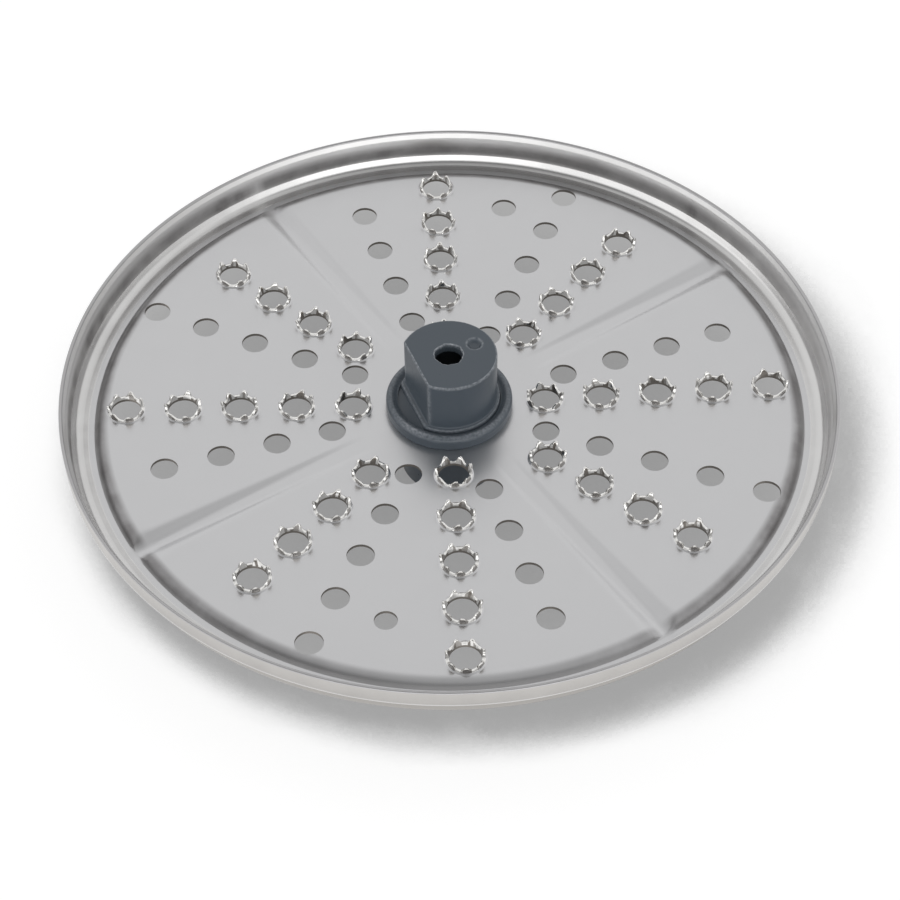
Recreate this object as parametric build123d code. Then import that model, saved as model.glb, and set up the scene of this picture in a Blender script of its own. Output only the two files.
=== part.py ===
from build123d import *
import math
import os

# Driving sizes in mm. Z is up, the axis of the disc is Z, and z = 0 is the lower end of the hub.
DISC_D = 125.6           # over the folded rim
SHEET = 0.5              # thickness of the sheet
APEX_Z = 12.95           # height at which the dished face would meet the axis
DISH_RISE = 0.0312       # rise of the dished face per mm of radius
DISH_FACETS = 16         # flats that make up the dished face
BORE_R = 9.0             # hole in the sheet, inside the hub

# Groove and upstanding wall round the face
GROOVE_IN_R = 57.8       # foot of the shoulder between face and groove
GROOVE_DROP = 0.98       # groove floor below the face at the shoulder
SHOULDER_DEG = 50.0      # slope at the foot of the shoulder
WALL_H = 6.13            # lip above the groove floor
WALL_LEAN = 0.62         # how far the wall leans outwards over its height
WALL_BEND = 1.65         # bend between groove floor and wall
HEM_H = 3.05             # height of the folded edge
LIP_EDGE = 0.4           # chamfer outside, along the lip
BEND_CHORDS = 2          # straight steps in a bend of the sheet

# Pressed channels between the four pads
CHANNEL_DEG = 31.3       # first channel, counted from +X
CHANNEL_COUNT = 4
CHANNEL_IN_R = 15.5      # where a channel starts beside the hub
CHANNEL_DEPTH = 0.92     # at the rim end
CHANNEL_W = 4.9          # at the face, rim end
CHANNEL_FLOOR_W = 0.9    # flat of the channel floor, rim end
CHANNEL_IN_W = 3.2       # flat of the channel floor, hub end

# Hole pattern, four times round the disc
PATTERN_COUNT = 4
HOLE_PITCH = 9.24        # between neighbours in a row
CROWN_LONG_R = 52.7      # outermost crown in the rows of five
CROWN_SHORT_R = 47.86    # outermost crown in the rows of four
PLAIN_LONG_R = 53.91     # outermost plain hole in the rows of five
PLAIN_SHORT_R = 47.71    # outermost plain hole in the rows of four
CROWN_LONG_DEG = 0.0
CROWN_SHORT_DEG = 48.9
PLAIN_LONG_DEG = 64.9
PLAIN_SHORT_DEG = 15.87
LONG_COUNT = 5
SHORT_COUNT = 4
PLAIN_R = 2.2
HOLE_SIDES = 14          # flats of a plain hole, few because there are many holes
TOOL_HOLE_DEG = 75.7     # two holes left by the press tool, on opposite sides
TOOL_HOLE_AT = (48.3, 46.5)
TOOL_HOLE_R = (2.2, 1.8)

# Turned-up teeth of one crown
CROWN_R = 2.36           # opening in the sheet, at the middle of a side
TOOTH_COUNT = 7
TOOTH_H = 1.35
TOOTH_LEAN = 0.35        # tip outside the opening
CROWN_WALL = 0.42        # wall of the crown at the face
VALLEY_H = 0.3           # lowest point between two teeth, above the face
CROWN_ROOT = 0.3         # how deep the crown reaches into the sheet

# Hub
SLEEVE_R = 8.13
FLANGE_R = 10.35
FLANGE_LOW = 1.6         # lower flange below the sheet
FLANGE_UP = 1.75         # side of the upper flange above the sheet
BEAD_RISE = 0.5          # bead above the side of the flange
BEAD_W = 1.35
BEAD_SLOPE_W = 0.5       # outer slope of the bead
BEAD_H = 0.9             # bead above the valley
FOOT_R = 8.3
FOOT_RISE = 0.95         # foot of the boss above the valley
BOSS_TOP = 11.8          # top of the boss above APEX_Z
BOSS_R = 7.8
BOSS_FLAT = 5.7          # flat of the boss from the axis
FOOT_FLAT = 6.45         # flat of the foot from the axis
FLAT_DEG = 199.5         # direction in which the flats look
BOSS_EDGE = 0.3          # chamfer round the top
CAP = 1.7                # material over the socket
SOCKET_WALL = 1.85       # boss wall round the socket
SOCKET_EDGE = 0.5        # lead-in at the mouth of the socket
TOP_HOLE_R = 2.3
DIMPLE_R = 1.3
DIMPLE_FLOOR_R = 0.7
DIMPLE_DEPTH = 0.55
DIMPLE_AT = 4.75         # from the axis
DIMPLE_DEG = 27.0

PAST = 1.0               # how far cutting tools reach past what they cut


def face_z(radius):
    """Height of the dished face."""
    return APEX_Z + DISH_RISE * radius


# Sizes that follow from those above
DISC_R = DISC_D / 2
SHOULDER_BEND = GROOVE_DROP / (1 - math.cos(math.radians(SHOULDER_DEG)))
SHOULDER_R = GROOVE_IN_R - SHOULDER_BEND * math.sin(math.radians(SHOULDER_DEG))
FLOOR_Z = face_z(SHOULDER_R) - GROOVE_DROP
LIP_Z = FLOOR_Z + WALL_H
HEM_Z = LIP_Z - HEM_H
LIP_IN_R = DISC_R - 2 * SHEET
LEAN = math.atan2(WALL_LEAN, WALL_H)
SPLIT_R = GROOVE_IN_R + PAST


def spun(points):
    """Solid of revolution about Z from a closed outline of (radius, height) points."""
    return revolve(Plane.XZ * make_face(Polyline(*points, close=True)), Axis.Z)


def faceted(outlines):
    """Solid with flat faces from the corner points of each face."""
    faces = [make_face(Polyline(*corners, close=True)).face() for corners in outlines]
    return Solid(Shell(faces))


def between(low, high):
    """Solid with flat sides between two rings with the same number of points."""
    sides = []
    for k in range(len(low)):
        sides.append((low[k - 1], low[k], high[k], high[k - 1]))
    return faceted(sides + [low, high])


def crossing(a, b):
    """Where two straight lines cross, each given by two points."""
    (x0, y0), (x1, y1) = a
    (x2, y2), (x3, y3) = b
    across = (x1 - x0) * (y3 - y2) - (y1 - y0) * (x3 - x2)
    along = ((x2 - x0) * (y3 - y2) - (y2 - y0) * (x3 - x2)) / across
    return (x0 + along * (x1 - x0), y0 + along * (y1 - y0))


def other_side(points, gap):
    """An open line of points moved to its right by gap, with mitred corners."""
    lines = []
    for (x0, y0), (x1, y1) in zip(points, points[1:]):
        length = math.hypot(x1 - x0, y1 - y0)
        dx = gap * (y1 - y0) / length
        dy = -gap * (x1 - x0) / length
        lines.append(((x0 + dx, y0 + dy), (x1 + dx, y1 + dy)))
    corners = [crossing(a, b) for a, b in zip(lines, lines[1:])]
    return [lines[0][0]] + corners + [lines[-1][1]]


def bend(centre_r, centre_z, radius, degrees):
    """Points of a bend that starts level and turns through degrees."""
    points = []
    for i in range(BEND_CHORDS + 1):
        angle = math.radians(degrees * i / BEND_CHORDS)
        points.append((centre_r + abs(radius) * math.sin(angle), centre_z + radius * math.cos(angle)))
    return points


def shoulder_line(outer_r):
    """Upper side of the sheet from above the face, down the shoulder, along the groove floor."""
    turn = bend(SHOULDER_R, face_z(SHOULDER_R) - SHOULDER_BEND, SHOULDER_BEND, SHOULDER_DEG)
    (r0, z0), (r1, z1) = turn[:2]
    run = 2 * PAST
    start = (r0 - run, z0 + run * (z0 - z1) / (r1 - r0))
    return [start] + turn[1:] + [(outer_r, FLOOR_Z)]


def bowl(drop):
    """Everything above the dished face, lowered by drop, in flat facets."""
    rings = []
    for radius in (BORE_R / 2, DISC_R + 10 * PAST):
        ring = []
        for k in range(DISH_FACETS):
            angle = math.radians(CHANNEL_DEG + 360 * k / DISH_FACETS)
            reach = radius / math.cos(math.pi / DISH_FACETS)
            ring.append((reach * math.cos(angle), reach * math.sin(angle), face_z(radius) - drop))
        rings.append(ring)
    return between(*rings)


def channel_tool(drop):
    """Tool that presses one channel along +X, open at the top, lowered by drop."""
    clear = 0.05
    side_run = (CHANNEL_W - CHANNEL_FLOOR_W) / 2 / CHANNEL_DEPTH
    rings = []
    rows = ((CHANNEL_IN_R, clear, CHANNEL_IN_W / 2), (SPLIT_R, -CHANNEL_DEPTH, CHANNEL_FLOOR_W / 2))
    for radius, depth, half_w in rows:
        low = face_z(min(radius, SHOULDER_R)) - drop + depth
        high = face_z(SPLIT_R) - drop + CHANNEL_DEPTH / 2
        top_w = half_w + side_run * (high - low)
        rings.append([
            (radius, -half_w, low),
            (radius, half_w, low),
            (radius, top_w, high),
            (radius, -top_w, high),
        ])
    return between(*rings)


def under(line, inner_r, drop):
    """Everything below a line of the sheet, dished and with the channels pressed in."""
    base = APEX_Z - 4 * PAST - drop
    cap_z = line[0][1]
    outer_r = line[-1][0]
    body = spun([(inner_r, base), (inner_r, cap_z)] + line + [(outer_r, base)])
    body -= bowl(drop)
    tool = channel_tool(drop)
    for k in range(CHANNEL_COUNT):
        body -= Rot(0, 0, CHANNEL_DEG + 360 * k / CHANNEL_COUNT) * tool
    return body


def pressed_face():
    """The four pads, the channels between them and the start of the groove."""
    upper = under(shoulder_line(SPLIT_R), BORE_R, 0.0)
    lower = under(other_side(shoulder_line(SPLIT_R + PAST), SHEET), BORE_R - PAST, SHEET)
    return upper - lower


def rim():
    """Groove floor, upstanding wall and folded edge."""
    upright = math.pi / 2 - LEAN
    foot_z = FLOOR_Z + WALL_BEND * (1 - math.cos(upright))
    foot_r = LIP_IN_R - math.tan(LEAN) * (LIP_Z - foot_z)
    turn_r = foot_r - WALL_BEND * math.sin(upright)
    turn = bend(turn_r, FLOOR_Z + WALL_BEND, -WALL_BEND, math.degrees(upright))
    inner = [(SPLIT_R, FLOOR_Z)] + turn + [(LIP_IN_R, LIP_Z)]
    outer = other_side(inner, SHEET)
    hem_level = ((0, HEM_Z), (DISC_R, HEM_Z))
    outer[-1] = crossing(outer[-2:], hem_level)
    lip = [
        (DISC_R - LIP_EDGE, LIP_Z),
        (DISC_R, LIP_Z - LIP_EDGE),
        (DISC_R, HEM_Z),
    ]
    return spun(inner + lip + outer[::-1])


def row_spots(first_r, count, first_deg):
    """Radius and direction of every hole of one kind of row."""
    spots = []
    for k in range(PATTERN_COUNT):
        for i in range(count):
            spots.append((first_r - i * HOLE_PITCH, first_deg + 360 * k / PATTERN_COUNT))
    return spots


def on_face(radius, degrees):
    """Place on the face, square to the flat that it is in, with its X and Y not turned."""
    step = 360 / DISH_FACETS
    middle = math.radians(CHANNEL_DEG + step * (math.floor((degrees - CHANNEL_DEG) / step) + 0.5))
    rise_x = DISH_RISE * math.cos(middle)
    rise_y = DISH_RISE * math.sin(middle)
    x = radius * math.cos(math.radians(degrees))
    y = radius * math.sin(math.radians(degrees))
    height = APEX_Z + rise_x * x + rise_y * y
    return Plane((x, y, height), x_dir=(1, 0, rise_x), z_dir=(-rise_x, -rise_y, 1)).location


def round_the_crown(apothem, height, turn):
    """One point for each tooth, on a ring."""
    points = []
    for k in range(TOOTH_COUNT):
        angle = math.radians(360 * (k + turn) / TOOTH_COUNT)
        points.append(Vector(apothem * math.cos(angle), apothem * math.sin(angle), height))
    return points


def crown():
    """One ring of turned-up pointed teeth, with a tooth towards +X."""
    corner = 1 / math.cos(math.pi / TOOTH_COUNT)
    inside = CROWN_R * corner
    outside = (CROWN_R + CROWN_WALL) * corner
    root_in = round_the_crown(inside, -CROWN_ROOT, 0.5)
    root_out = round_the_crown(outside, -CROWN_ROOT, 0.5)
    dip_in = round_the_crown(inside, VALLEY_H, 0.5)
    dip_out = round_the_crown(outside, VALLEY_H, 0.5)
    tips = round_the_crown(CROWN_R + TOOTH_LEAN, TOOTH_H, 0)
    outlines = []
    for k in range(TOOTH_COUNT):
        j = k - 1
        outlines.append((root_in[j], root_in[k], dip_in[k], dip_in[j]))
        outlines.append((root_out[j], dip_out[j], dip_out[k], root_out[k]))
        outlines.append((root_in[j], root_out[j], root_out[k], root_in[k]))
        outlines.append((dip_in[j], dip_in[k], tips[k]))
        outlines.append((dip_out[k], dip_out[j], tips[k]))
        outlines.append((dip_in[k], dip_out[k], tips[k]))
        outlines.append((dip_out[j], dip_in[j], tips[k]))
    return faceted(outlines)


def crown_opening():
    """What is cut from the sheet inside one crown."""
    corner = 1 / math.cos(math.pi / TOOTH_COUNT)
    ring = round_the_crown(CROWN_R * corner, 0, 0.5)
    return extrude(make_face(Polyline(*ring, close=True)), 3 * SHEET, both=True)


def plain_hole(radius):
    """What is cut from the sheet for one plain hole."""
    return extrude(RegularPolygon(radius, HOLE_SIDES), 3 * SHEET, both=True)


def grating_plate():
    sheet = pressed_face() + rim()
    crowns = row_spots(CROWN_LONG_R, LONG_COUNT, CROWN_LONG_DEG)
    crowns += row_spots(CROWN_SHORT_R, SHORT_COUNT, CROWN_SHORT_DEG)
    plains = row_spots(PLAIN_LONG_R, LONG_COUNT, PLAIN_LONG_DEG)
    plains += row_spots(PLAIN_SHORT_R, SHORT_COUNT, PLAIN_SHORT_DEG)
    cuts = []
    for radius, degrees in plains:
        cuts.append(on_face(radius, degrees) * plain_hole(PLAIN_R))
    for k, (radius, size) in enumerate(zip(TOOL_HOLE_AT, TOOL_HOLE_R)):
        cuts.append(on_face(radius, TOOL_HOLE_DEG + 180 * k) * plain_hole(size))
    # Every crown has one tooth that points straight away from the axis of the disc.
    ring = crown()
    opening = crown_opening()
    rings = []
    for radius, degrees in crowns:
        spot = on_face(radius, degrees) * Rot(0, 0, degrees)
        cuts.append(spot * opening)
        rings.append(spot * ring)
    return sheet - cuts + rings


def d_shape(radius, flat):
    """Disc with one flat that looks along FLAT_DEG."""
    keep = Pos(2 * radius - flat, 0) * Rectangle(4 * radius, 4 * radius)
    return Rot(0, 0, FLAT_DEG + 180) * (Circle(radius) & keep)


def hub_spindle(valley):
    """Sleeve, the two flanges and the bead, all round."""
    low = face_z(FLANGE_R) - SHEET - FLANGE_LOW
    bead = valley + BEAD_H
    return spun([
        (0, 0),
        (SLEEVE_R, 0),
        (SLEEVE_R, low),
        (FLANGE_R, low),
        (FLANGE_R, bead - BEAD_RISE),
        (FLANGE_R - BEAD_SLOPE_W, bead),
        (FLANGE_R - BEAD_W, valley),
        (0, valley),
    ])


def sheet_blank():
    """The sheet round its bore, as the hub is moulded round it."""
    outer = FLANGE_R + PAST
    upper = spun([(BORE_R, 0), (BORE_R, LIP_Z), (outer, LIP_Z), (outer, 0)])
    return (upper - bowl(0.0)) & bowl(SHEET)


def drive_hub():
    top = APEX_Z + BOSS_TOP
    valley = face_z(FLANGE_R) + FLANGE_UP + BEAD_RISE - BEAD_H
    foot = extrude(Pos(0, 0, valley) * d_shape(FOOT_R, FOOT_FLAT), FOOT_RISE)
    boss = extrude(Pos(0, 0, valley) * d_shape(BOSS_R, BOSS_FLAT), top - valley)
    boss = chamfer(boss.faces().sort_by(Axis.Z)[-1].edges(), BOSS_EDGE)
    body = hub_spindle(valley) + foot + boss
    socket = d_shape(BOSS_R - SOCKET_WALL, BOSS_FLAT - SOCKET_WALL)
    body -= extrude(Pos(0, 0, -PAST) * socket, top - CAP + PAST)
    mouth = body.faces().sort_by(Axis.Z)[0].inner_wires()[0].edges()
    body = chamfer(mouth, SOCKET_EDGE)
    dimple = Pos(DIMPLE_AT, 0, top - DIMPLE_DEPTH / 2) * Cone(DIMPLE_FLOOR_R, DIMPLE_R, DIMPLE_DEPTH)
    body -= Rot(0, 0, DIMPLE_DEG) * dimple
    body -= Pos(0, 0, top) * Cylinder(TOP_HOLE_R, 3 * CAP)
    return body - sheet_blank()


os.makedirs("parts", exist_ok=True)
solids = {
    "grating_plate": grating_plate(),
    "drive_hub": drive_hub(),
}
for name, solid in solids.items():
    export_step(solid, os.path.join("parts", name + ".step"))
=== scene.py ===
import math
import random

import bpy
import numpy as np
from mathutils import Matrix, Vector
from mathutils.geometry import delaunay_2d_cdt


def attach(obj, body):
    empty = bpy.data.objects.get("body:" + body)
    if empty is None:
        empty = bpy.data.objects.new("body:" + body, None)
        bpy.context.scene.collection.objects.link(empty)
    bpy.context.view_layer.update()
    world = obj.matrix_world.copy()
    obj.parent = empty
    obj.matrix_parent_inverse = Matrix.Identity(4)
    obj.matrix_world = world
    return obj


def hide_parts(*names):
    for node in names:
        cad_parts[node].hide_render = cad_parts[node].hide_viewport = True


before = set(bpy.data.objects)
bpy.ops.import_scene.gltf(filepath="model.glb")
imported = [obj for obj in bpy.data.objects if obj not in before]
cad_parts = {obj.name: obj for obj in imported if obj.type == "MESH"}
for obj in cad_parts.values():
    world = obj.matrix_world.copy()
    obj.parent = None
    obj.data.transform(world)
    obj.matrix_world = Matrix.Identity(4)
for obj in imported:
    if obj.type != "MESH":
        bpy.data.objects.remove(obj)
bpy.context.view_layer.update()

# Sizes in mm, the same as in the part; meshes are scaled to metres when they are made
MM = 0.001
RIM_R = 62.77            # just inside the solid's facets
SHEET = 0.5
APEX_Z = 12.95
DISH_RISE = 0.0312
BORE_R = 9.0
GROOVE_IN_R = 57.8
GROOVE_DROP = 0.98
SHOULDER_DEG = 50.0
WALL_H = 6.13
WALL_LEAN = 0.62
WALL_BEND = 1.65
HEM_H = 3.05
SPLIT_R = 58.8           # where the face's net of triangles gives way to the rim's rings

CHANNEL_DEG = 31.3
CHANNEL_COUNT = 4
CHANNEL_IN_R = 15.5
CHANNEL_DEPTH = 0.92
CHANNEL_W = 4.9
CHANNEL_FLOOR_W = 0.9
CHANNEL_IN_W = 3.2
CHANNEL_SOFT = 0.3       # rounding of the channel's edges, as a height

PATTERN_COUNT = 4
HOLE_PITCH = 9.24
CROWN_ROWS = ((52.7, 5, 0.0), (47.86, 4, 48.9))      # outermost radius, count, direction
PLAIN_ROWS = ((53.91, 5, 64.9), (47.71, 4, 15.87))
PLAIN_R = 2.2
TOOL_HOLES = ((48.3, 75.7, 2.2), (46.5, 255.7, 1.8))  # radius, direction, size
CROWN_R = 2.45           # a little wider than in the part, where it has flats
TOOTH_COUNT = 7
TOOTH_H = 1.35
TOOTH_LEAN = 0.35
TOOTH_TIP = 0.14         # half of the blunt tip, as a share of half the distance between teeth
TOOTH_FOOT = 0.66        # half of the foot of a tooth, in the same way
CROWN_WALL = 0.42
VALLEY_H = 0.3

HUB_TOP = 24.75
SLEEVE_R = 8.13
FLANGE_R = 10.35
FLANGE_LOW = 1.6
FLANGE_UP = 1.75
BEAD_RISE = 0.5
BEAD_H = 0.9
FOOT_R = 8.3
FOOT_RISE = 0.95
BOSS_R = 7.8
BOSS_FLAT = 5.7
FOOT_FLAT = 6.45
FLAT_DEG = 199.5
CAP = 1.7
SOCKET_WALL = 1.85
SOCKET_EDGE = 0.5
TOP_HOLE_R = 2.3
DIMPLE_R = 1.3
DIMPLE_DEPTH = 0.55
DIMPLE_AT = 4.75
DIMPLE_DEG = 27.0

# Roundings that the part leaves out or has as straight steps
BEND_SLOPE_DEG = 60.0    # steep flat part of the bend at the foot of the wall
LIP_IN_W = 0.45          # sloping inside of the folded edge, across
LIP_IN_H = 1.1           # and down to its lower end
LIP_TOP_H = 0.25         # and down to its upper end
LIP_OUT = 0.2            # rounding of the outer edge
HEM_EDGE = 0.12          # rounding of the lower end of the fold
BEAD_CREST = 0.85        # crest of the bead in from the edge of the flange
BEAD_RAMP = 1.05         # slope from the crest inwards
BEAD_STEP = 0.35         # step at its inner end, up from the valley
TOP_EDGE = 0.28          # top of the boss
BOSS_FILLET = 0.3        # corner between the boss and its foot
FOOT_EDGE = 0.2          # top of the foot
FOOT_FILLET = 0.12       # corner between the foot and the flange
FLANGE_EDGE = 0.3        # lower edge of the flange
SLEEVE_FILLET = 0.3      # corner between the flange and the sleeve
SLEEVE_EDGE = 0.35       # lower end of the sleeve
FLAT_SOFT = 0.25         # where a round outline and its flat meet

# Unevenness: share of a tooth's height, share of its lean, its turn in radians
TALL_RANGE = (0.84, 1.0)
LEAN_RANGE = (0.4, 1.3)
TWIST_RANGE = (-0.12, 0.12)
# Waves round the hole in the top of the hub: how many, how deep
RAGGED_WAVES = (3, 5, 7, 11, 16)
RAGGED_RANGE = (0.02, 0.06)

# What the steel looks like where, as a place on the ramps of the material
FINISH_FACE = 0.0
FINISH_GROOVE = 0.2
FINISH_LIP = 0.4         # inside of the wall and of the fold
FINISH_EDGE_SHADE = 0.5        # upper edge of the fold, painted darker as shade
FINISH_RIM = 0.6         # outside of the fold
FINISH_BACK_SHADE = 0.7        # backs of the teeth, and the rim below its fold, painted dark as shade
FINISH_WALL_SHADE = 0.8        # punched edges, painted dark as shade
# torn tops of the teeth and the valleys between them: bright torn steel, painted brighter as a highlight
FINISH_TORN_HIGHLIGHT = 1.0
# Looks that the streaks inside a crown are drawn from
TORN_LOOKS = (FINISH_WALL_SHADE, FINISH_BACK_SHADE, FINISH_TORN_HIGHLIGHT, FINISH_TORN_HIGHLIGHT)

# How much darker the steel is, 0 to 1, from stains and from painted shade
# painted shade on the pressed shoulder
SHOULDER_PAINTED_SHADE = 0.82
SHOULDER_SHADE_FRONT_FADE_DEG = 30.0     # how far to both sides of the front the painted shade on the shoulder fades out
GROOVE_STAIN = 0.25
BEND_STAIN = 0.1
# painted shade on the upper edge of the fold
EDGE_SHADE = 0.1
SKIRT_STAIN = 0.3
HEM_HIGHLIGHT_BAND = 0.34          # height of the painted highlight, a bright band at the lower end of the fold
# Inside of the rim, darker towards the foot of the wall: share of its height, darkening
FLANK_DARKENING = ((0.0, 0.45), (0.2, 0.74), (0.45, 0.7), (0.62, 0.36), (0.78, 0.0))
# Marks in the rim's darkening; the last two are painted shade on the left and painted light on the right.
# Direction, half width in degrees, change
RIM_MARKS_AND_SIDE_SHADE = (
    (128.5, 1.0, 1.0),
    (125.0, 0.9, 0.6),
    (121.5, 1.1, -0.9),
    (163.0, 3.0, 0.9),
    (43.0, 0.8, 0.8),
    # painted shade on the left side of the rim, and below it painted light on the right
    (185.0, 30.0, 0.3),
    (0.0, 35.0, -0.6),
)

# How pale the edges of the hub are, 0 to 1: wear, and on some a painted highlight
HOLE_WEAR = 1.0
# painted highlight round the rim of the dimple
DIMPLE_HIGHLIGHT = 0.6
CORNER_WEAR_AND_HIGHLIGHT = 0.5        # wear and a painted highlight where the boss and its flat meet
# wear and a painted highlight on the top edge of the foot
FOOT_WEAR_AND_HIGHLIGHT = 0.35
# wear and a painted highlight along the crest of the bead
BEAD_WEAR_AND_HIGHLIGHT = 0.3
# Painted highlights on the bead: direction, half width in degrees, change
BEAD_HIGHLIGHTS = ((232.0, 20.0, 0.6), (300.0, 24.0, 0.3))

# How finely the pieces are divided
RIM_STEPS = 450
BORE_STEPS = 96
NET_STEP = 1.4
BAND_STEP = 0.22         # between rings on the shoulder
NET_GAP = 0.5            # nearest that the net comes to the outline of a hole
BAND_GAP = 0.25          # the same for the rings on the shoulder
LANE_HALF = 3.4          # half width of the finer net along a channel
LANE_STEP = 1.2
LANE_ROWS = 18
HOLE_STEPS = 40
CROWN_HOLE_STEPS = 42
TOOTH_STEPS = 10
HUB_STEPS = 240
TOP_STEPS = 44
PLATE_SHARP_DEG = 38
HUB_SHARP_DEG = 40

SHOULDER_BEND = GROOVE_DROP / (1 - math.cos(math.radians(SHOULDER_DEG)))
SHOULDER_R = GROOVE_IN_R - SHOULDER_BEND * math.sin(math.radians(SHOULDER_DEG))
FLOOR_Z = APEX_Z + DISH_RISE * SHOULDER_R - GROOVE_DROP
LIP_Z = FLOOR_Z + WALL_H
HEM_Z = LIP_Z - HEM_H
LEAN = math.atan2(WALL_LEAN, WALL_H)

FLANGE_Z = APEX_Z + DISH_RISE * FLANGE_R      # face of the sheet at the edge of the flange
BEAD_FOOT_Z = FLANGE_Z + FLANGE_UP + BEAD_RISE - BEAD_H
FOOT_Z = BEAD_FOOT_Z + FOOT_RISE
FLANGE_LOW_Z = FLANGE_Z - SHEET - FLANGE_LOW
CEILING_Z = HUB_TOP - CAP


def soft_min(a, b, k):
    """Smaller of two heights, with a rounded change from one to the other."""
    h = np.clip(0.5 + 0.5 * (b - a) / k, 0.0, 1.0)
    return b + (a - b) * h - k * h * (1.0 - h)


def fade(value, start, end):
    """0 up to the start, 1 from the end on, evenly between."""
    return np.clip((value - start) / (end - start), 0, 1)


def polar(radius, degrees):
    return radius * math.cos(math.radians(degrees)), radius * math.sin(math.radians(degrees))


def ring_points(radius, turns, z):
    """Points round the axis, with one radius and height or one for each."""
    return np.stack([radius * np.cos(turns), radius * np.sin(turns), z + 0 * turns], axis=1)


def make_piece(name, points, faces, sharp_deg, material, slot, replaced):
    """Mesh object from points in mm, riding on the part and standing for one of its nodes."""
    mesh = bpy.data.meshes.new(name)
    mesh.from_pydata([tuple(p) for p in np.asarray(points) * MM], [], faces)
    mesh.validate()
    mesh.shade_smooth()
    mesh.set_sharp_from_angle(angle=math.radians(sharp_deg))
    mesh.materials.append(material)
    piece = bpy.data.objects.new(name, mesh)
    bpy.context.scene.collection.objects.link(piece)
    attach(piece, "root")
    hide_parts(replaced)
    return piece


def set_values(piece, name, domain, values):
    """One number for every face or point of a piece, for its material."""
    holder = piece.data.attributes.new(name, "FLOAT", domain)
    holder.data.foreach_set("value", np.array(values, dtype=np.float32))


def ring_numbers(start, rings, count):
    """Point numbers of rings that follow one another."""
    return [list(range(start + k * count, start + (k + 1) * count)) for k in range(rings)]


def ring_faces(rings, count, closed):
    """Quads between neighbouring rings of point numbers."""
    faces = []
    pairs = list(zip(rings, rings[1:]))
    if closed:
        pairs.append((rings[-1], rings[0]))
    for a, b in pairs:
        for i in range(count):
            j = (i + 1) % count
            faces.append((a[i], a[j], b[j], b[i]))
    return faces


# Shape of the pressed sheet

def channel_turns():
    return [math.radians(CHANNEL_DEG + 360 * k / CHANNEL_COUNT) for k in range(CHANNEL_COUNT)]


def lane(x, y, turn):
    """Place along a channel and distance from its middle."""
    along = x * math.cos(turn) + y * math.sin(turn)
    across = np.abs(y * math.cos(turn) - x * math.sin(turn))
    return along, across


def face_height(x, y):
    """Upper side of the sheet inside the rim: dish, shoulder and channels."""
    r = np.hypot(x, y)
    level = APEX_Z + DISH_RISE * np.minimum(r, SHOULDER_R)
    run = np.clip(r - SHOULDER_R, 0.0, GROOVE_IN_R - SHOULDER_R)
    z = level - (SHOULDER_BEND - np.sqrt(SHOULDER_BEND ** 2 - run ** 2))
    side_run = (CHANNEL_W - CHANNEL_FLOOR_W) / 2 / CHANNEL_DEPTH
    for turn in channel_turns():
        along, across = lane(x, y, turn)
        part = np.clip((along - CHANNEL_IN_R) / (SPLIT_R - CHANNEL_IN_R), -1.0, 1.0)
        half = (CHANNEL_IN_W + (CHANNEL_FLOOR_W - CHANNEL_IN_W) * part) / 2
        bed = APEX_Z + DISH_RISE * np.minimum(along, SHOULDER_R) - CHANNEL_DEPTH * part
        wall = np.maximum(across - half, 0.0) / side_run
        inside = soft_min(z, bed + wall, CHANNEL_SOFT * np.clip(part, 0.05, 1.0))
        z = np.where(part > 0, inside, z)
    return z


def shoulder_shade(x, y):
    """Painted shade on the pressed shoulder, fading out towards the front; the channels that cut through it
    stay bare.
    """
    r = np.hypot(x, y)
    band = fade(r, SHOULDER_R - 0.3, SHOULDER_R + 0.7) * (1 - fade(r, GROOVE_IN_R - 0.3, GROOVE_IN_R + 0.1))
    off_front = np.degrees(np.arctan2(x, -y))
    # painted shade, fading out towards the front
    shade = SHOULDER_PAINTED_SHADE * band * (1 - np.exp(-(off_front / SHOULDER_SHADE_FRONT_FADE_DEG) ** 2))
    for turn in channel_turns():
        along, across = lane(x, y, turn)
        shade = np.where(along > 0, shade * fade(across, 0.6, 1.6), shade)
    return shade


def row_places(rows):
    """Radius and direction of every hole in the rows."""
    for first, number, degrees in rows:
        for k in range(PATTERN_COUNT):
            for i in range(number):
                yield first - i * HOLE_PITCH, degrees + 360 * k / PATTERN_COUNT


def hole_spots():
    """Every opening in the sheet: x, y, radius, points round it."""
    spots = [(*polar(*place), CROWN_R + 0.04, CROWN_HOLE_STEPS) for place in row_places(CROWN_ROWS)]
    spots += [(*polar(*place), PLAIN_R, HOLE_STEPS) for place in row_places(PLAIN_ROWS)]
    spots += [(*polar(radius, degrees), size, HOLE_STEPS) for radius, degrees, size in TOOL_HOLES]
    return spots


def circle(radius, turns):
    return np.stack([radius * np.cos(turns), radius * np.sin(turns)], axis=1)


def off_holes(plan, spots, gap):
    """The points that are at least the gap away from every hole."""
    for x, y, size, _ in spots:
        plan = plan[np.hypot(plan[:, 0] - x, plan[:, 1] - y) > size + gap]
    return plan


def hole_outlines(spots):
    """Points round the holes, and the edges between them."""
    plan = []
    edges = []
    for x, y, size, count in spots:
        start = len(plan)
        for i in range(count):
            turn = 2 * math.pi * i / count
            plan.append((x + size * math.cos(turn), y + size * math.sin(turn)))
            edges.append((start + i, start + (i + 1) % count))
    return np.array(plan), edges


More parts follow.
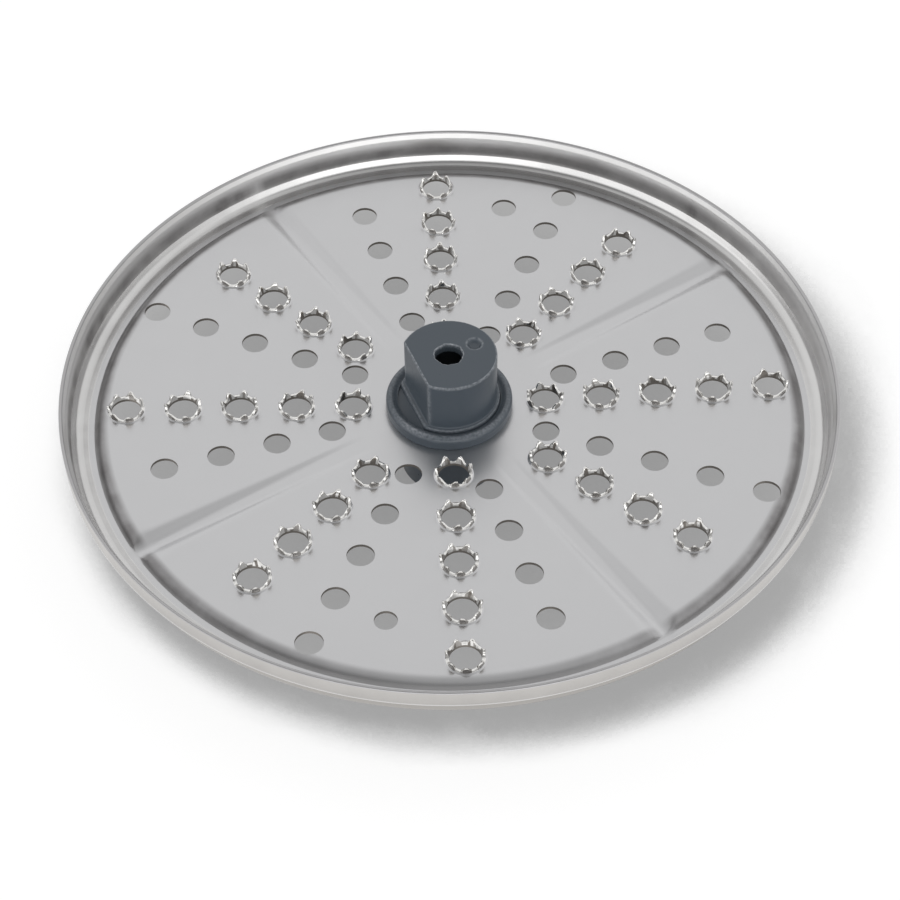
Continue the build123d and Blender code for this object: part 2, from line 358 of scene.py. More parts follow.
def loose_points():
    """Points of the face between the holes, closer together along the channels."""
    loose = []
    for radius in np.arange(BORE_R + 1.6, SHOULDER_R - 1.5, NET_STEP):
        count = int(2 * math.pi * radius / NET_STEP)
        loose.append(circle(radius, 2 * math.pi * (np.arange(count) + 0.5 * (int(radius) % 2)) / count))
    loose = np.concatenate(loose)
    lanes = []
    for turn in channel_turns():
        c = math.cos(turn)
        s = math.sin(turn)
        along = loose @ np.array([c, s])
        across = loose @ np.array([-s, c])
        loose = loose[~((along > CHANNEL_IN_R - 2.2) & (np.abs(across) < LANE_HALF + 0.3))]
        for a in np.arange(CHANNEL_IN_R - 1.5, SHOULDER_R - 1.0, LANE_STEP):
            for b in np.linspace(-LANE_HALF, LANE_HALF, LANE_ROWS):
                lanes.append((a * c - b * s, a * s + b * c))
    return np.concatenate([loose, np.array(lanes)])


def band_points():
    """Rings of points on the shoulder and at the hole for the hub."""
    turns = 2 * math.pi * np.arange(RIM_STEPS) / RIM_STEPS
    radii = list(np.arange(SHOULDER_R - 0.7, SPLIT_R - 0.1, BAND_STEP)) + [SPLIT_R]
    bands = [circle(radius, turns) for radius in radii]
    bands.append(circle(BORE_R, 2 * math.pi * np.arange(BORE_STEPS) / BORE_STEPS))
    return np.concatenate(bands)


def sheet_net(spots):
    """Plan points and triangles of the sheet inside the rim."""
    outlines, edges = hole_outlines(spots)
    loose = off_holes(loose_points(), spots, NET_GAP)
    bands = off_holes(band_points(), spots, BAND_GAP)
    plan = np.concatenate([outlines, loose, bands])
    found = delaunay_2d_cdt([Vector(p) for p in plan], edges, [], 0, 1e-6)
    points = np.array([(p.x, p.y) for p in found[0]])
    triangles = np.array([f for f in found[2]])
    middle = points[triangles].mean(axis=1)
    keep = np.hypot(middle[:, 0], middle[:, 1]) > BORE_R * 0.998
    for x, y, size, _ in spots:
        keep &= np.hypot(middle[:, 0] - x, middle[:, 1] - y) > size * 0.999
    return points, triangles[keep]


def sheet_sides(x, y):
    """Points of the upper and of the lower side of the sheet."""
    step = 0.03
    slope_x = (face_height(x + step, y) - face_height(x - step, y)) / (2 * step)
    slope_y = (face_height(x, y + step) - face_height(x, y - step)) / (2 * step)
    normal = np.stack([-slope_x, -slope_y, np.ones_like(x)], axis=1)
    normal /= np.linalg.norm(normal, axis=1)[:, None]
    top = np.stack([x, y, face_height(x, y)], axis=1)
    return [top, top - normal * SHEET]


def sheet_faces(triangles, size, outer):
    """Faces of both sides and of the holes' walls, with their finishes."""
    faces = [tuple(int(i) for i in t) for t in triangles]
    faces += [(c + size, b + size, a + size) for a, b, c in faces]
    finish = [FINISH_FACE] * len(faces)
    edges = {(a, b) for t in triangles for a, b in zip(t, np.roll(t, -1))}
    for a, b in sorted(edges):
        if (b, a) not in edges and not (outer[a] and outer[b]):
            # walls of the holes, painted dark as shade
            faces.append((int(a), int(a) + size, int(b) + size, int(b)))
            finish.append(FINISH_WALL_SHADE)
    return faces, finish


# Rim

def arc(centre_r, centre_z, radius, start_deg, end_deg, steps):
    """Points of an arc in the (radius, height) plane; 0 degrees points outwards, 90 up."""
    turns = np.radians(np.linspace(start_deg, end_deg, steps + 1))
    return [(centre_r + radius * math.cos(t), centre_z + radius * math.sin(t)) for t in turns]


def bend_line(turn_r, foot_r, foot_z):
    """Inside of the bend from the groove floor to the wall: an arc and a straight slope."""
    c = math.cos(math.radians(BEND_SLOPE_DEG))
    s = math.sin(math.radians(BEND_SLOPE_DEG))
    run = foot_r - turn_r
    rise = foot_z - FLOOR_Z
    radius = (run * s - rise * c) / (1 - c)
    line = arc(turn_r, FLOOR_Z + radius, radius, -90, -90 + BEND_SLOPE_DEG, 7)
    end_r, end_z = line[-1]
    for part in (0.1, 0.4, 0.7, 0.92, 1.0):
        line.append((end_r + (foot_r - end_r) * part, end_z + (foot_z - end_z) * part))
    return line


def lip_lines():
    """The sloping inside of the fold, and its rounded upper edge."""
    lip = []
    for part in (0, 0.12, 0.3, 0.6, 0.9):
        drop = LIP_IN_H - (LIP_IN_H - LIP_TOP_H) * part
        lip.append((RIM_R - 2 * SHEET + LIP_IN_W * part, LIP_Z - drop))
    top_w = 2 * SHEET - LIP_IN_W - LIP_OUT
    edge = []
    for t in np.radians(np.linspace(180, 90, 6)):
        edge.append((RIM_R - LIP_OUT + top_w * math.cos(t), LIP_Z - LIP_TOP_H * (1 - math.sin(t))))
    edge += arc(RIM_R - LIP_OUT, LIP_Z - LIP_OUT, LIP_OUT, 90, 0, 4)[1:]
    return lip, edge


def rim_line():
    """Section of the rim, from the groove floor over the fold and back: radius, z, finish, darkening from
    stains and painted shade.
    """
    upright = 90 - math.degrees(LEAN)
    foot_z = FLOOR_Z + WALL_BEND * (1 - math.cos(math.radians(upright)))
    foot_r = RIM_R - 2 * SHEET - math.tan(LEAN) * (LIP_Z - LIP_IN_H - foot_z)
    turn_r = foot_r - WALL_BEND * math.sin(math.radians(upright))
    upper = bend_line(turn_r, foot_r, foot_z)
    under = arc(turn_r, FLOOR_Z + WALL_BEND, WALL_BEND + SHEET, -90, -90 + upright, 12)
    lip, edge = lip_lines()
    hem_r = under[-1][0] + math.tan(LEAN) * (HEM_Z - under[-1][1])
    hem = [(RIM_R - HEM_EDGE, HEM_Z), (hem_r + 0.05, HEM_Z), (hem_r, HEM_Z - 0.02)]
    groove = [(r, FLOOR_Z) for r in np.linspace(SPLIT_R, turn_r, 6)[1:-1]]
    back = [(r, FLOOR_Z - SHEET) for r in np.linspace(turn_r, SPLIT_R, 6)[1:-1]]
    section = [(radius, z, FINISH_GROOVE, GROOVE_STAIN) for radius, z in groove]
    section += [(radius, z, FINISH_GROOVE, BEND_STAIN) for radius, z in upper[:-1]]
    # inside of the wall, darker towards its foot
    for part, stain_and_shade in FLANK_DARKENING:
        radius, z = np.array(upper[-1]) + part * (np.array(lip[0]) - np.array(upper[-1]))
        section.append((radius, z, FINISH_LIP if part else FINISH_GROOVE, stain_and_shade))
    section += [(radius, z, FINISH_LIP, 0.0) for radius, z in lip]
    # upper edge of the fold, painted darker as shade
    section += [(radius, z, FINISH_EDGE_SHADE, EDGE_SHADE) for radius, z in edge]
    # a painted highlight: a bright band at the lower end of the fold
    section.append((RIM_R, HEM_Z + HEM_HIGHLIGHT_BAND, FINISH_RIM, SKIRT_STAIN))
    section.append((RIM_R, HEM_Z + HEM_EDGE, FINISH_GROOVE, 0.0))
    # lower end of the fold, the rim below it and the underside of the groove, painted dark as shade
    return section + [(radius, z, FINISH_BACK_SHADE, 0.0) for radius, z in hem + under[::-1] + back]


def marked(stain_and_shade, turns):
    """Darkening all round the rim, with its marks; painted shade on the left and painted light on the
    right.
    """
    change = np.zeros_like(turns)
    for middle, half, part in RIM_MARKS_AND_SIDE_SHADE:
        off = (np.degrees(turns) - middle + 180) % 360 - 180
        change += part * np.exp(-(off / half) ** 2)
    return np.clip(stain_and_shade * (1 + change), 0, 1)


def rim(x, y, outer):
    """The rim between the outer edges of the two sides: points, darkening from stains and painted shade,
    faces and finishes.
    """
    size = len(x)
    border = sorted(np.nonzero(outer)[0], key=lambda i: math.atan2(y[i], x[i]))
    count = len(border)
    turns = np.arctan2(y[border], x[border])
    points = []
    shade = []
    finish = []
    for radius, z, look, stain_and_shade in rim_line():
        points.append(ring_points(radius, turns, z))
        shade.append(marked(stain_and_shade, turns))
        finish += [look] * count
    finish += [FINISH_RIM] * count
    rings = [[int(i) for i in border]]
    rings += ring_numbers(2 * size, len(points), count)
    rings.append([int(i) + size for i in border])
    return points, shade, ring_faces(rings, count, False), finish


# Crowns

def crown_rings(chance):
    """One crown, a tooth towards +X: rings from the outer foot over the teeth and down, with finishes."""
    count = TOOTH_COUNT * TOOTH_STEPS
    steps = np.arange(count)
    tooth = steps // TOOTH_STEPS
    part = np.abs((steps % TOOTH_STEPS) / TOOTH_STEPS * 2 - 1)
    tall = np.array([chance.uniform(*TALL_RANGE) for k in range(TOOTH_COUNT)])[tooth]
    out = TOOTH_LEAN * np.array([chance.uniform(*LEAN_RANGE) for k in range(TOOTH_COUNT)])[tooth]
    twist = np.array([chance.uniform(*TWIST_RANGE) for k in range(TOOTH_COUNT)])[tooth]
    rise = np.clip((TOOTH_FOOT - part) / (TOOTH_FOOT - TOOTH_TIP), 0.0, 1.0)
    rise = rise ** 1.2 * (1.4 - 0.4 * rise)
    height = VALLEY_H + (TOOTH_H * tall - VALLEY_H) * rise
    turns = 2 * math.pi * (steps / TOOTH_STEPS - 0.5) / TOOTH_COUNT

    def ring(share, thick):
        way = turns + twist * rise * share
        radius = CROWN_R + out * (height * share / TOOTH_H) ** 1.4 + thick
        return np.stack([radius * np.cos(way), radius * np.sin(way), height * share], axis=1)

    # outer side: painted shade on the backs of the teeth, painted highlight in the valleys between them
    back = np.where(rise > 0.35, FINISH_BACK_SHADE, FINISH_TORN_HIGHLIGHT)
    streak = np.repeat([chance.choice(TORN_LOOKS) for k in range(count // 2)], 2)
    # torn tops painted bright as a highlight, then random streaks inside, the punched edge painted dark as
    # shade
    finish = [np.full(count, FINISH_FACE)] * 2 + [back] * 4 + [np.full(count, FINISH_TORN_HIGHLIGHT)] * 2
    finish += [streak] * 3 + [np.full(count, FINISH_WALL_SHADE)] + [np.full(count, FINISH_RIM)] * 2
    rings = [
        ring_points(CROWN_R + CROWN_WALL + 0.55, turns, -0.06),
        ring_points(CROWN_R + CROWN_WALL + 0.3, turns, 0.03),
        ring_points(CROWN_R + CROWN_WALL + 0.1, turns, 0.12),
        ring(0.5, CROWN_WALL),
        ring(0.75, CROWN_WALL * 0.95),
        ring(0.93, CROWN_WALL * 0.9),
        ring(1.0, CROWN_WALL * 0.72),
        ring(1.0, CROWN_WALL * 0.2),
        ring(0.92, 0.0),
        ring(0.6, 0.0),
        ring(0.3, 0.0),
        ring_points(CROWN_R, turns, -0.05),
        ring_points(CROWN_R, turns, -SHEET),
        ring_points(CROWN_R + 0.2, turns, -SHEET - 0.03),
    ]
    return rings, np.concatenate(finish)


def on_face(radius, degrees):
    """Axes and middle of a place on the face, square to it, with its X pointing away from the axis."""
    x, y = polar(radius, degrees)
    rise_x, rise_y = polar(DISH_RISE, degrees)
    normal = Vector((-rise_x, -rise_y, 1)).normalized()
    outward = Vector((x / radius, y / radius, DISH_RISE)).normalized()
    axes = np.array([outward, normal.cross(outward), normal]).T
    return axes, np.array([x, y, APEX_Z + DISH_RISE * radius])


def crowns(start):
    """Points, faces and finishes of all crowns; one tooth of each points away from the axis."""
    chance = random.Random(7)
    count = TOOTH_COUNT * TOOTH_STEPS
    points = []
    faces = []
    finish = []
    for radius, degrees in row_places(CROWN_ROWS):
        axes, spot = on_face(radius, degrees)
        rings, looks = crown_rings(chance)
        points += [ring @ axes.T + spot for ring in rings]
        faces += ring_faces(ring_numbers(start, len(rings), count), count, True)
        finish += list(looks)
        start += len(rings) * count
    return points, faces, finish


def plate(material):
    """The whole pressing: face, rim and crowns."""
    plan, triangles = sheet_net(hole_spots())
    x, y = plan[:, 0], plan[:, 1]
    outer = np.hypot(x, y) > SPLIT_R - 0.001
    faces, finish = sheet_faces(triangles, len(plan), outer)
    rim_points, rim_shade, rim_faces, rim_finish = rim(x, y, outer)
    points = np.concatenate(sheet_sides(x, y) + rim_points)
    shade = np.concatenate([shoulder_shade(x, y), np.zeros(len(plan))] + rim_shade)
    crown_points, crown_faces, crown_finish = crowns(len(points))
    points = np.concatenate([points] + crown_points)
    skin = (points, faces + rim_faces + crown_faces, PLATE_SHARP_DEG)
    piece = make_piece("grating_plate_skin", *skin, material, "steel", "grating_plate")
    # finishes, some of them painted shade and highlight; darkening from stains and painted shade
    set_values(piece, "finish", "FACE", finish + rim_finish + crown_finish)
    set_values(piece, "shade", "POINT", np.pad(shade, (0, len(points) - len(shade))))


# Hub

def d_radius(turns, radius, flat):
    """Radius of a round outline with one flat."""
    lean = np.cos(turns - math.radians(FLAT_DEG))
    straight = np.where(lean > 0.05, flat / np.maximum(lean, 0.05), 1e3)
    return soft_min(np.full_like(turns, radius), straight, FLAT_SOFT)


class Lathe:
    """Rings of points added one after another round the axis, with how pale they are from wear and painted
    highlights.
    """

    def __init__(self, count):
        self.turns = 2 * math.pi * np.arange(count) / count
        self.points = []
        self.wear_and_highlight = []

    def add(self, radius, z, wear_and_highlight_level=0.0):
        self.points.append(ring_points(radius + 0 * self.turns, self.turns, z))
        self.wear_and_highlight.append(wear_and_highlight_level + 0 * self.turns)

    def add_d(self, radius, flat, inset, z, wear_and_highlight_level=0.0):
        """A ring with one flat, drawn in by the inset."""
        self.add(d_radius(self.turns, radius - inset, flat - inset), z, wear_and_highlight_level)


def directions(start_deg, end_deg, count):
    """Cosine and sine of evenly spaced directions, for a rounding."""
    return [(math.cos(t), math.sin(t)) for t in np.radians(np.linspace(start_deg, end_deg, count))]


def hub_top(lathe):
    """The ragged hole and the top round it, with its dimple."""
    turns = lathe.turns
    chance = random.Random(3)
    ragged = np.zeros(HUB_STEPS)
    for wave in RAGGED_WAVES:
        ragged += chance.uniform(*RAGGED_RANGE) * np.cos(wave * turns + chance.uniform(0, 6.28))
    hole = TOP_HOLE_R + ragged
    lathe.add(TOP_HOLE_R, CEILING_Z)
    lathe.add(TOP_HOLE_R + 0.5 * ragged, CEILING_Z + 0.8)
    lathe.add(hole - 0.05, HUB_TOP - 0.25, HOLE_WEAR / 2)
    lathe.add(hole, HUB_TOP - 0.1, HOLE_WEAR)
    lathe.add(hole + 0.1, HUB_TOP - 0.02, HOLE_WEAR)
    inner = hole + 0.2
    outer = d_radius(turns, BOSS_R - TOP_EDGE, BOSS_FLAT - TOP_EDGE)
    dip_x, dip_y = polar(DIMPLE_AT, DIMPLE_DEG)
    for part in np.linspace(0, 1, TOP_STEPS):
        radius = inner + (outer - inner) * part
        gap = np.hypot(radius * np.cos(turns) - dip_x, radius * np.sin(turns) - dip_y) / DIMPLE_R
        dip = DIMPLE_DEPTH * np.clip((1 - gap) / 0.4, 0, 1)
        # paler ring round the dimple: a painted highlight
        lathe.add(radius, HUB_TOP - dip, DIMPLE_HIGHLIGHT * np.exp(-((gap - 1) / 0.12) ** 2))


def hub_boss(lathe):
    """The boss with its flat, and the foot step under it."""
    corner = math.acos(BOSS_FLAT / BOSS_R)
    off_flat = np.abs((lathe.turns - math.radians(FLAT_DEG) + math.pi) % (2 * math.pi) - math.pi)
    # paler where the boss and its flat meet: wear and a painted highlight
    corner_wear_and_highlight = CORNER_WEAR_AND_HIGHLIGHT * np.exp(-((off_flat - corner) / 0.05) ** 2)
    # top edge of the boss paler: wear and a painted highlight
    for c, s in directions(90, 0, 6)[1:]:
        lathe.add_d(BOSS_R, BOSS_FLAT, TOP_EDGE * (1 - c), HUB_TOP - TOP_EDGE * (1 - s), 1.0 - 0.5 * c)
    for z in np.linspace(HUB_TOP - 0.6, FOOT_Z + 0.45, 8):
        lathe.add_d(BOSS_R, BOSS_FLAT, 0, z, corner_wear_and_highlight)
    for c, s in directions(0, 90, 5)[1:]:
        lathe.add_d(BOSS_R, BOSS_FLAT, -BOSS_FILLET * (1 - c), FOOT_Z + 0.05 + BOSS_FILLET * (1 - s))
    # top edge of the foot paler: wear and a painted highlight
    for c, s in directions(90, 0, 5):
        lathe.add_d(FOOT_R, FOOT_FLAT, FOOT_EDGE * (1 - c), FOOT_Z - FOOT_EDGE * (1 - s), FOOT_WEAR_AND_HIGHLIGHT)
    for c, s in directions(0, 90, 5):
        lathe.add_d(FOOT_R, FOOT_FLAT, -FOOT_FILLET * (1 - c), BEAD_FOOT_Z + FOOT_FILLET * (1 - s))


def hub_bead(lathe):
    """The raised bead round the edge of the flange, from its inner step outwards."""
    crest = FLANGE_R - BEAD_CREST
    # paler along the crest: wear, and painted highlights towards the front
    wear_and_highlight_level = BEAD_WEAR_AND_HIGHLIGHT + 0 * lathe.turns
    for middle, half, part in BEAD_HIGHLIGHTS:
        wear_and_highlight_level += part * np.exp(-((np.degrees(lathe.turns) - middle) / half) ** 2)
    lathe.add(crest - BEAD_RAMP, BEAD_FOOT_Z)
    for part in np.linspace(0, 1, 9)[:-1]:
        slope = (1 - math.cos(math.pi * part)) / 2
        z = BEAD_FOOT_Z + BEAD_STEP + (BEAD_H - BEAD_STEP) * slope
        lathe.add(crest - BEAD_RAMP * (1 - part), z, wear_and_highlight_level * part)
    for c, s in directions(90, -10, 9):
        lift = max(s, 0)
        z = BEAD_FOOT_Z + BEAD_H * lift + min(s, 0) * 0.3
        lathe.add(crest + BEAD_CREST * c, z, wear_and_highlight_level * lift ** 2)


def hub_grip(lathe):
    """Sides of the flanges, and the neck that fills the hole of the sheet between them."""
    neck_z = APEX_Z + DISH_RISE * BORE_R
    lathe.add(FLANGE_R, FLANGE_Z + 0.9)
    lathe.add(FLANGE_R, FLANGE_Z + 0.05)
    lathe.add(FLANGE_R - 0.06, FLANGE_Z)
    lathe.add(BORE_R, neck_z)
    lathe.add(BORE_R, neck_z - SHEET)
    lathe.add(FLANGE_R - 0.06, FLANGE_Z - SHEET)
    lathe.add(FLANGE_R, FLANGE_Z - SHEET - 0.06)


def hub_sleeve(lathe):
    """The lower flange, the sleeve and the drive socket inside it."""
    for c, s in directions(0, -90, 5):
        lathe.add(FLANGE_R - FLANGE_EDGE * (1 - c), FLANGE_LOW_Z + FLANGE_EDGE * (1 + s))
    for c, s in directions(90, 180, 4):
        lathe.add(SLEEVE_R + SLEEVE_FILLET * (1 + c), FLANGE_LOW_Z - SLEEVE_FILLET * (1 - s))
    for c, s in directions(0, -90, 5):
        lathe.add(SLEEVE_R - SLEEVE_EDGE * (1 - c), SLEEVE_EDGE * (1 + s))
    radius = BOSS_R - SOCKET_WALL
    flat = BOSS_FLAT - SOCKET_WALL
    lathe.add_d(radius, flat, -SOCKET_EDGE, 0.0)
    for z in (SOCKET_EDGE, *np.linspace(1.0, CEILING_Z - 0.2, 6), CEILING_Z):
        lathe.add_d(radius, flat, 0.0, z)


def hub(material):
    """The whole hub, from the hole in its top outwards, down and up again inside the socket."""
    lathe = Lathe(HUB_STEPS)
    hub_top(lathe)
    hub_boss(lathe)
    hub_bead(lathe)
    hub_grip(lathe)
    hub_sleeve(lathe)
    rings = ring_numbers(0, len(lathe.points), HUB_STEPS)
    faces = ring_faces(rings, HUB_STEPS, True)
    skin = (np.concatenate(lathe.points), faces, HUB_SHARP_DEG)
    piece = make_piece("drive_hub_skin", *skin, material, "hub_plastic", "drive_hub")
    # how pale each point is: wear and painted highlights
    set_values(piece, "wear_and_highlight", "POINT", np.concatenate(lathe.wear_and_highlight))


# Materials

# Tints of the finishes; the edge, back and wall finishes are painted shade, the torn finish partly a
# painted highlight
STEEL_TINTS = (
    (FINISH_FACE, (0.625, 0.625, 0.633)),
    (FINISH_GROOVE, (0.71, 0.705, 0.7)),
    (FINISH_LIP, (0.71, 0.705, 0.7)),
    (FINISH_EDGE_SHADE, (0.5, 0.495, 0.5)),
    (FINISH_RIM, (0.57, 0.555, 0.535)),
    (FINISH_WALL_SHADE, (0.24, 0.22, 0.2)),
    (FINISH_TORN_HIGHLIGHT, (0.88, 0.87, 0.85)),
)
STEEL_ROUGHNESS = (
    (FINISH_FACE, 0.31),
    (FINISH_GROOVE, 0.26),
    (FINISH_LIP, 0.38),
    (FINISH_RIM, 0.3),
    (FINISH_WALL_SHADE, 0.35),
    (FINISH_TORN_HIGHLIGHT, 0.2),
)
# darker colour for stains and for painted shade
STAIN_AND_SHADE_COLOUR = (0.17, 0.16, 0.16, 1)
PLASTIC_COLOUR = (0.072, 0.089, 0.108, 1)
# paler specks, for wear and for painted highlights
SCUFF_AND_HIGHLIGHT_COLOUR = (0.45, 0.47, 0.5, 1)


def new_material(name):
    material = bpy.data.materials.new(name)
    material.use_nodes = True
    nodes = material.node_tree.nodes
    return material, nodes, material.node_tree.links, nodes["Principled BSDF"]


def colour_ramp(nodes, stops):
    """Ramp with a colour at each of the positions."""
    ramp = nodes.new("ShaderNodeValToRGB")
    elements = ramp.color_ramp.elements
    while len(elements) < len(stops):
        elements.new(0.5)
    for element, (spot, colour) in zip(elements, stops):
        element.position = spot
        element.color = (*colour, 1)
    return ramp


def grey_ramp(nodes, stops):
    return colour_ramp(nodes, [(spot, (level, level, level)) for spot, level in stops])


def noise(nodes, links, scale, detail):
    """Noise fixed to the object, with features of about 1 / scale metres."""
    place = nodes.new("ShaderNodeTexCoord")
    grain = nodes.new("ShaderNodeTexNoise")
    grain.inputs["Scale"].default_value = scale
    grain.inputs["Detail"].default_value = detail
    links.new(place.outputs["Object"], grain.inputs["Vector"])
    return grain.outputs["Fac"]


def attribute(nodes, name):
    """The values that set_values left on the mesh."""
    node = nodes.new("ShaderNodeAttribute")
    node.attribute_name = name
    return node.outputs["Fac"]


def map_range(nodes, links, value, from_range, to_range):
    """The value moved from one range to another and kept inside it."""
    node = nodes.new("ShaderNodeMapRange")
    node.inputs["From Min"].default_value, node.inputs["From Max"].default_value = from_range
    node.inputs["To Min"].default_value, node.inputs["To Max"].default_value = to_range
    links.new(value, node.inputs["Value"])
    return node


def combine(nodes, links, operation, first, second):
    """Two values multiplied, or the larger of them."""
    node = nodes.new("ShaderNodeMath")
    node.operation = operation
    links.new(first, node.inputs[0])
    links.new(second, node.inputs[1])
    return node.outputs["Value"]


def colour_mix(nodes):
    mix = nodes.new("ShaderNodeMix")
    mix.data_type = "RGBA"
    return mix


def bumps(nodes, links, shader, height, strength, distance):
    """Fine unevenness of a surface; the distance is in metres."""
    bump = nodes.new("ShaderNodeBump")
    bump.inputs["Strength"].default_value = strength
    bump.inputs["Distance"].default_value = distance
    links.new(height, bump.inputs["Height"])
    links.new(bump.outputs["Normal"], shader.inputs["Normal"])


def steel():
    """Steel with a finish for each face, darker where it is stained and where shade is painted."""
    material, nodes, links, shader = new_material("brushed_steel")
    shader.inputs["Metallic"].default_value = 1.0
    finish = attribute(nodes, "finish")
    grain = noise(nodes, links, scale=260, detail=6)
    tint = colour_ramp(nodes, STEEL_TINTS)
    links.new(finish, tint.inputs["Fac"])
    patchy = map_range(nodes, links, grain, (0.3, 0.7), (0.6, 1.0))
    # darkening from stains and from painted shade
    stain_and_shade = combine(nodes, links, "MULTIPLY", attribute(nodes, "shade"), patchy.outputs["Result"])
    colour = colour_mix(nodes)
    colour.inputs["B"].default_value = STAIN_AND_SHADE_COLOUR
    links.new(stain_and_shade, colour.inputs["Factor"])
    links.new(tint.outputs["Color"], colour.inputs["A"])
    links.new(colour.outputs["Result"], shader.inputs["Base Color"])
    smooth = grey_ramp(nodes, STEEL_ROUGHNESS)
    links.new(finish, smooth.inputs["Fac"])
    rough = colour_mix(nodes)
    rough.blend_type = "OVERLAY"
    rough.inputs["Factor"].default_value = 0.12
    links.new(smooth.outputs["Color"], rough.inputs["A"])
    links.new(grain, rough.inputs["B"])
    links.new(rough.outputs["Result"], shader.inputs["Roughness"])
    bumps(nodes, links, shader, grain, strength=0.02, distance=0.0001)
    return material


def plastic():
    """Dark plastic, paler in specks where it is worn and where highlights are painted."""
    material, nodes, links, shader = new_material("moulded_plastic")
    shader.inputs["Specular IOR Level"].default_value = 0.45
    grain = noise(nodes, links, scale=1400, detail=3)
    speck = noise(nodes, links, scale=2200, detail=4)
    picked = map_range(nodes, links, speck, (0.25, 0.8), (0.0, 1.0))
    # paler specks from wear and painted highlights
    scuff_and_highlight = combine(nodes, links, "MULTIPLY", attribute(nodes, "wear_and_highlight"), picked.outputs["Result"])
    colour = colour_mix(nodes)
    colour.inputs["A"].default_value = PLASTIC_COLOUR
    colour.inputs["B"].default_value = SCUFF_AND_HIGHLIGHT_COLOUR
    links.new(scuff_and_highlight, colour.inputs["Factor"])
    links.new(colour.outputs["Result"], shader.inputs["Base Color"])
    rough = map_range(nodes, links, grain, (0.0, 1.0), (0.24, 0.38))
    links.new(rough.outputs["Result"], shader.inputs["Roughness"])
    bumps(nodes, links, shader, grain, strength=0.05, distance=0.0002)
    return material


# Stage, light and camera

FLOOR_HALF = 3.0         # metres, like the reach of the shade
FLOOR_COLOUR = (0.32, 0.32, 0.32, 1)
FLOOR_LIFT = 0.8         # light of its own that the open floor shows, but does not shed
SHADE_FROM = (-0.32, -0.8, 0)    # side that the open floor gets its light from
SHADE_REACH = 0.08
SHADE_RANGE = (0.71, 0.8)        # openness to that side, from full shade to none
SHADE_LEFT = 0.28                # light left in full shade
SKY_LEVEL = 2.0
SKY_AHEAD_DEG = 250.0    # direction of the low pale band
SKY_SPREAD = (-0.1, 0.45)        # cosines of the angle from it, where it starts and is full
# Brightness by height, 0 at the horizon and 1 overhead
SKY_BEHIND = ((0.0, 0.25), (0.2, 0.44), (0.75, 0.44), (0.94, 0.32), (1.0, 0.22))
SKY_AHEAD = ((0.0, 0.6), (0.2, 0.72), (0.42, 0.68), (0.58, 0.3), (0.7, 0.08), (0.85, 0.12), (1.0, 0.22))


def seen_ray(nodes, links):
    """1 for rays that show a surface to the camera, directly, in a mirror or through glass; else 0."""
    rays = nodes.new("ShaderNodeLightPath").outputs
    seen = combine(nodes, links, "MAXIMUM", rays["Is Camera Ray"], rays["Is Glossy Ray"])
    return combine(nodes, links, "MAXIMUM", seen, rays["Is Transmission Ray"])


def floor_material():
    """Pale floor with light of its own, less where something shades it."""
    material, nodes, links, shader = new_material("floor")
    shader.inputs["Base Color"].default_value = FLOOR_COLOUR
    shader.inputs["Roughness"].default_value = 0.9
    shader.inputs["Specular IOR Level"].default_value = 0.0
    shader.inputs["Emission Color"].default_value = (FLOOR_LIFT, FLOOR_LIFT, FLOOR_LIFT, 1)
    face = nodes.new("ShaderNodeNewGeometry")
    aside = nodes.new("ShaderNodeVectorMath")
    aside.inputs[1].default_value = SHADE_FROM
    links.new(face.outputs["Normal"], aside.inputs[0])
    unit = nodes.new("ShaderNodeVectorMath")
    unit.operation = "NORMALIZE"
    links.new(aside.outputs["Vector"], unit.inputs[0])
    cover = nodes.new("ShaderNodeAmbientOcclusion")
    cover.samples = 32
    cover.inputs["Distance"].default_value = SHADE_REACH
    links.new(unit.outputs["Vector"], cover.inputs["Normal"])
    clear = map_range(nodes, links, cover.outputs["AO"], SHADE_RANGE, (SHADE_LEFT, 1.0))
    lift = combine(nodes, links, "MULTIPLY", clear.outputs["Result"], seen_ray(nodes, links))
    links.new(lift, shader.inputs["Emission Strength"])
    return material


def floor():
    mesh = bpy.data.meshes.new("floor")
    corners = [(FLOOR_HALF * x, FLOOR_HALF * y, 0) for x, y in ((-1, -1), (1, -1), (1, 1), (-1, 1))]
    mesh.from_pydata(corners, [], [(0, 1, 2, 3)])
    mesh.materials.append(floor_material())
    ground = bpy.data.objects.new("floor", mesh)
    bpy.context.scene.collection.objects.link(ground)


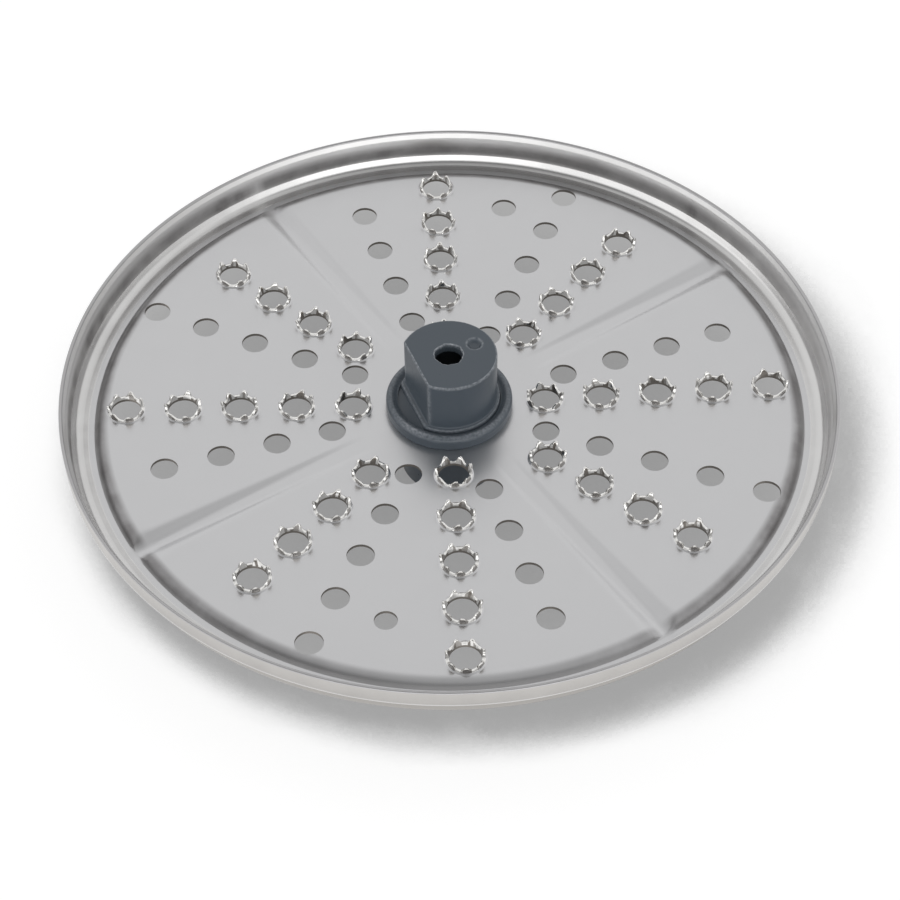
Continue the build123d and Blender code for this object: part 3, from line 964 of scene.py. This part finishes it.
def sky():
    """Studio round the object: a wide pale screen behind it, dark overhead, pale low down in front."""
    world = bpy.data.worlds.new("studio")
    bpy.context.scene.world = world
    world.use_nodes = True
    nodes = world.node_tree.nodes
    links = world.node_tree.links
    place = nodes.new("ShaderNodeTexCoord")
    split = nodes.new("ShaderNodeSeparateXYZ")
    links.new(place.outputs["Generated"], split.inputs["Vector"])
    behind = grey_ramp(nodes, SKY_BEHIND)
    ahead = grey_ramp(nodes, SKY_AHEAD)
    links.new(split.outputs["Z"], behind.inputs["Fac"])
    links.new(split.outputs["Z"], ahead.inputs["Fac"])
    aim = nodes.new("ShaderNodeVectorMath")
    aim.operation = "DOT_PRODUCT"
    aim.inputs[1].default_value = (*polar(1.0, SKY_AHEAD_DEG), 0)
    links.new(place.outputs["Generated"], aim.inputs[0])
    share = map_range(nodes, links, aim.outputs["Value"], SKY_SPREAD, (0.0, 1.0))
    share.interpolation_type = "SMOOTHSTEP"
    both = colour_mix(nodes)
    links.new(share.outputs["Result"], both.inputs["Factor"])
    links.new(behind.outputs["Color"], both.inputs["A"])
    links.new(ahead.outputs["Color"], both.inputs["B"])
    links.new(both.outputs["Result"], nodes["Background"].inputs["Color"])
    nodes["Background"].inputs["Strength"].default_value = SKY_LEVEL


def softbox(name, spot, aim, size, watts):
    """Lamp with a lit rectangle, turned towards a point."""
    lamp = bpy.data.lights.new(name, "AREA")
    lamp.shape = "RECTANGLE"
    lamp.size, lamp.size_y = size
    lamp.energy = watts
    holder = bpy.data.objects.new(name, lamp)
    holder.location = spot
    holder.rotation_euler = (Vector(aim) - Vector(spot)).to_track_quat("-Z", "Y").to_euler()
    bpy.context.scene.collection.objects.link(holder)


# Camera where the photograph was taken from
VIEW_EL_DEG = 47.690
VIEW_AZ_DEG = -2.204
VIEW_ROLL_DEG = -0.555
VIEW_DIST = 331.38
VIEW_AIM = (0.117, -7.416)       # right and up in the picture from the middle of the face
SENSOR = 36
FOCAL = 80.655


def camera():
    el, az, roll = (math.radians(d) for d in (VIEW_EL_DEG, VIEW_AZ_DEG, VIEW_ROLL_DEG))
    back = Vector((math.sin(az) * math.cos(el), -math.cos(az) * math.cos(el), math.sin(el)))
    level = Vector((math.cos(az), math.sin(az), 0))
    rise = back.cross(level)
    right = level * math.cos(roll) + rise * math.sin(roll)
    up = rise * math.cos(roll) - level * math.sin(roll)
    aim = Vector((0, 0, APEX_Z)) + right * VIEW_AIM[0] + up * VIEW_AIM[1]
    lens = bpy.data.cameras.new("camera")
    lens.sensor_width = SENSOR
    lens.lens = FOCAL
    lens.clip_start = 0.01
    holder = bpy.data.objects.new("camera", lens)
    turn = Matrix((right, up, back)).transposed().to_4x4()
    holder.matrix_world = Matrix.Translation((aim + back * VIEW_DIST) * MM) @ turn
    bpy.context.scene.collection.objects.link(holder)
    bpy.context.scene.camera = holder


bpy.context.scene.view_settings.view_transform = "Standard"
plate(steel())
hub(plastic())
floor()
sky()
softbox("front", spot=(0.05, -0.45, 0.17), aim=(0, 0, 0.02), size=(0.6, 0.28), watts=0.3)
camera()
